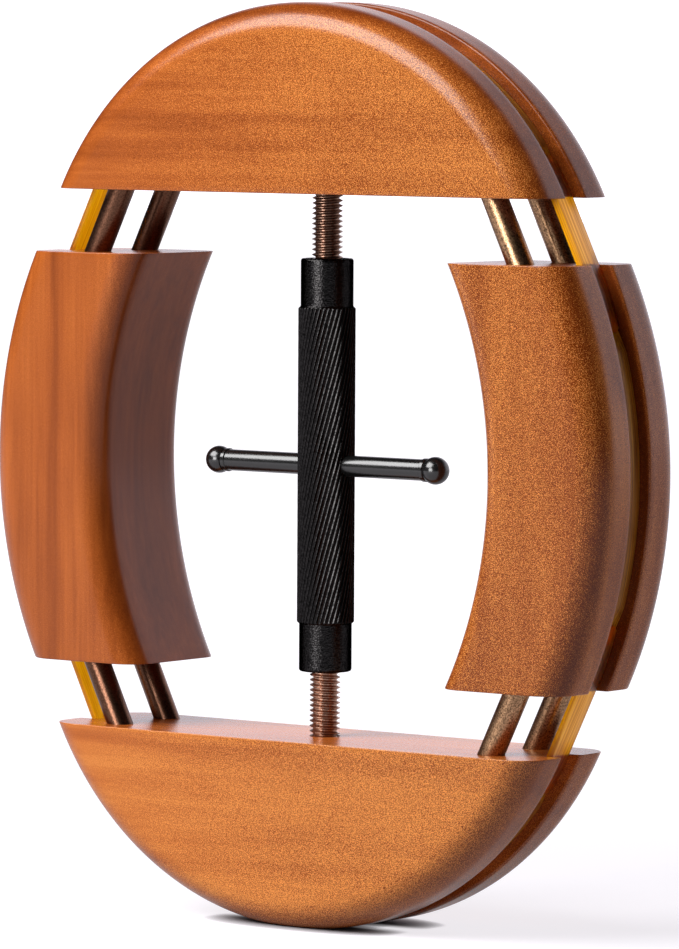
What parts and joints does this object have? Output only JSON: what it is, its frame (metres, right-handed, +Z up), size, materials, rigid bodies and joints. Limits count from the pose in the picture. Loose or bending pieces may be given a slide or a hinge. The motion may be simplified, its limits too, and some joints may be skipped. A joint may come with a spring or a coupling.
{
  "type": "hat stretcher",
  "caption": "Oval wooden hat stretcher: end and side blocks on inclined guide rods, spread by a hand-turned double-ended screw with a cross bar.",
  "frame": {"origin": "on the floor, under the middle of the flat foot of the bottom block", "axes": "+Z up along the screw, +X to the right along the cross bar, -Y out of the front face"},
  "size_m": [0.1492, 0.028, 0.1795],
  "materials": {
    "stained_wood": "warm brown stain under satin varnish",
    "bronzed_rod": "smooth bronzed steel",
    "bronzed_screw": "bronzed threaded steel",
    "amber_strip": "translucent amber glass-fibre with lengthwise grain",
    "black_sleeve": "fine matt black",
    "black_bar": "gloss black",
    "dark_bush": "blackened steel"
  },
  "bodies": {
    "bottom": {"bottom_block": "stained_wood", "bottom_band": "amber_strip", "lower_screw": "bronzed_screw", "lower_left_front_rod": "bronzed_rod", "lower_left_rear_rod": "bronzed_rod", "lower_right_front_rod": "bronzed_rod", "lower_right_rear_rod": "bronzed_rod"},
    "thread_bushes": {"upper_thread_bush": "dark_bush", "lower_thread_bush": "dark_bush"},
    "handle": {"grip_sleeve": "black_sleeve", "cross_bar": "black_bar", "left_bar_ball": "black_bar", "right_bar_ball": "black_bar"},
    "top": {"top_block": "stained_wood", "top_band": "amber_strip", "upper_screw": "bronzed_screw", "upper_left_front_rod": "bronzed_rod", "upper_left_rear_rod": "bronzed_rod", "upper_right_front_rod": "bronzed_rod", "upper_right_rear_rod": "bronzed_rod"},
    "left_side": {"left_block": "stained_wood", "left_band": "amber_strip"},
    "right_side": {"right_block": "stained_wood", "right_band": "amber_strip"},
    "upper_left_leaf": {"upper_left_strip": "amber_strip"},
    "upper_right_leaf": {"upper_right_strip": "amber_strip"},
    "lower_left_leaf": {"lower_left_strip": "amber_strip"},
    "lower_right_leaf": {"lower_right_strip": "amber_strip"}
  },
  "joints": [
    {"name": "bush_rise", "type": "slide", "parent": "bottom", "child": "thread_bushes", "axis": [0, 0, 1], "range_m": [-0.012, 0.0165]},
    {"name": "handle_turn", "type": "hinge", "parent": "thread_bushes", "child": "handle", "pos_m": [0, 0, 0.08951], "axis": [0, 0, -1], "range_deg": [-4320.1, 5940.1]},
    {"name": "top_rise", "type": "slide", "parent": "bottom", "child": "top", "axis": [0, 0, 1], "range_m": [-0.024, 0.033]},
    {"name": "left_spread", "type": "slide", "parent": "bottom", "child": "left_side", "axis": [-0.4384, 0, 0.8988], "range_m": [-0.01335, 0.01836]},
    {"name": "right_spread", "type": "slide", "parent": "bottom", "child": "right_side", "axis": [0.4384, 0, 0.8988], "range_m": [-0.01335, 0.01836]},
    {"name": "upper_left_leaf_slide", "type": "slide", "parent": "top", "child": "upper_left_leaf", "axis": [-0.4384, 0, -0.8988], "range_m": [-0.00601, 0.00826]},
    {"name": "upper_right_leaf_slide", "type": "slide", "parent": "top", "child": "upper_right_leaf", "axis": [0.4384, 0, -0.8988], "range_m": [-0.00601, 0.00826]},
    {"name": "lower_left_leaf_slide", "type": "slide", "parent": "bottom", "child": "lower_left_leaf", "axis": [-0.4384, 0, 0.8988], "range_m": [-0.00601, 0.00826]},
    {"name": "lower_right_leaf_slide", "type": "slide", "parent": "bottom", "child": "lower_right_leaf", "axis": [0.4384, 0, 0.8988], "range_m": [-0.00601, 0.00826]}
  ],
  "couplings": [
    {"joint": "bush_rise", "follows": "top_rise", "ratio": 0.5},
    {"joint": "left_spread", "follows": "top_rise", "ratio": 0.5563},
    {"joint": "right_spread", "follows": "top_rise", "ratio": 0.5563},
    {"joint": "upper_left_leaf_slide", "follows": "top_rise", "ratio": 0.25034},
    {"joint": "upper_right_leaf_slide", "follows": "top_rise", "ratio": 0.25034},
    {"joint": "lower_left_leaf_slide", "follows": "top_rise", "ratio": 0.25034},
    {"joint": "lower_right_leaf_slide", "follows": "top_rise", "ratio": 0.25034},
    {"joint": "handle_turn", "follows": "top_rise", "rad_per_m": 3141.6}
  ]
}
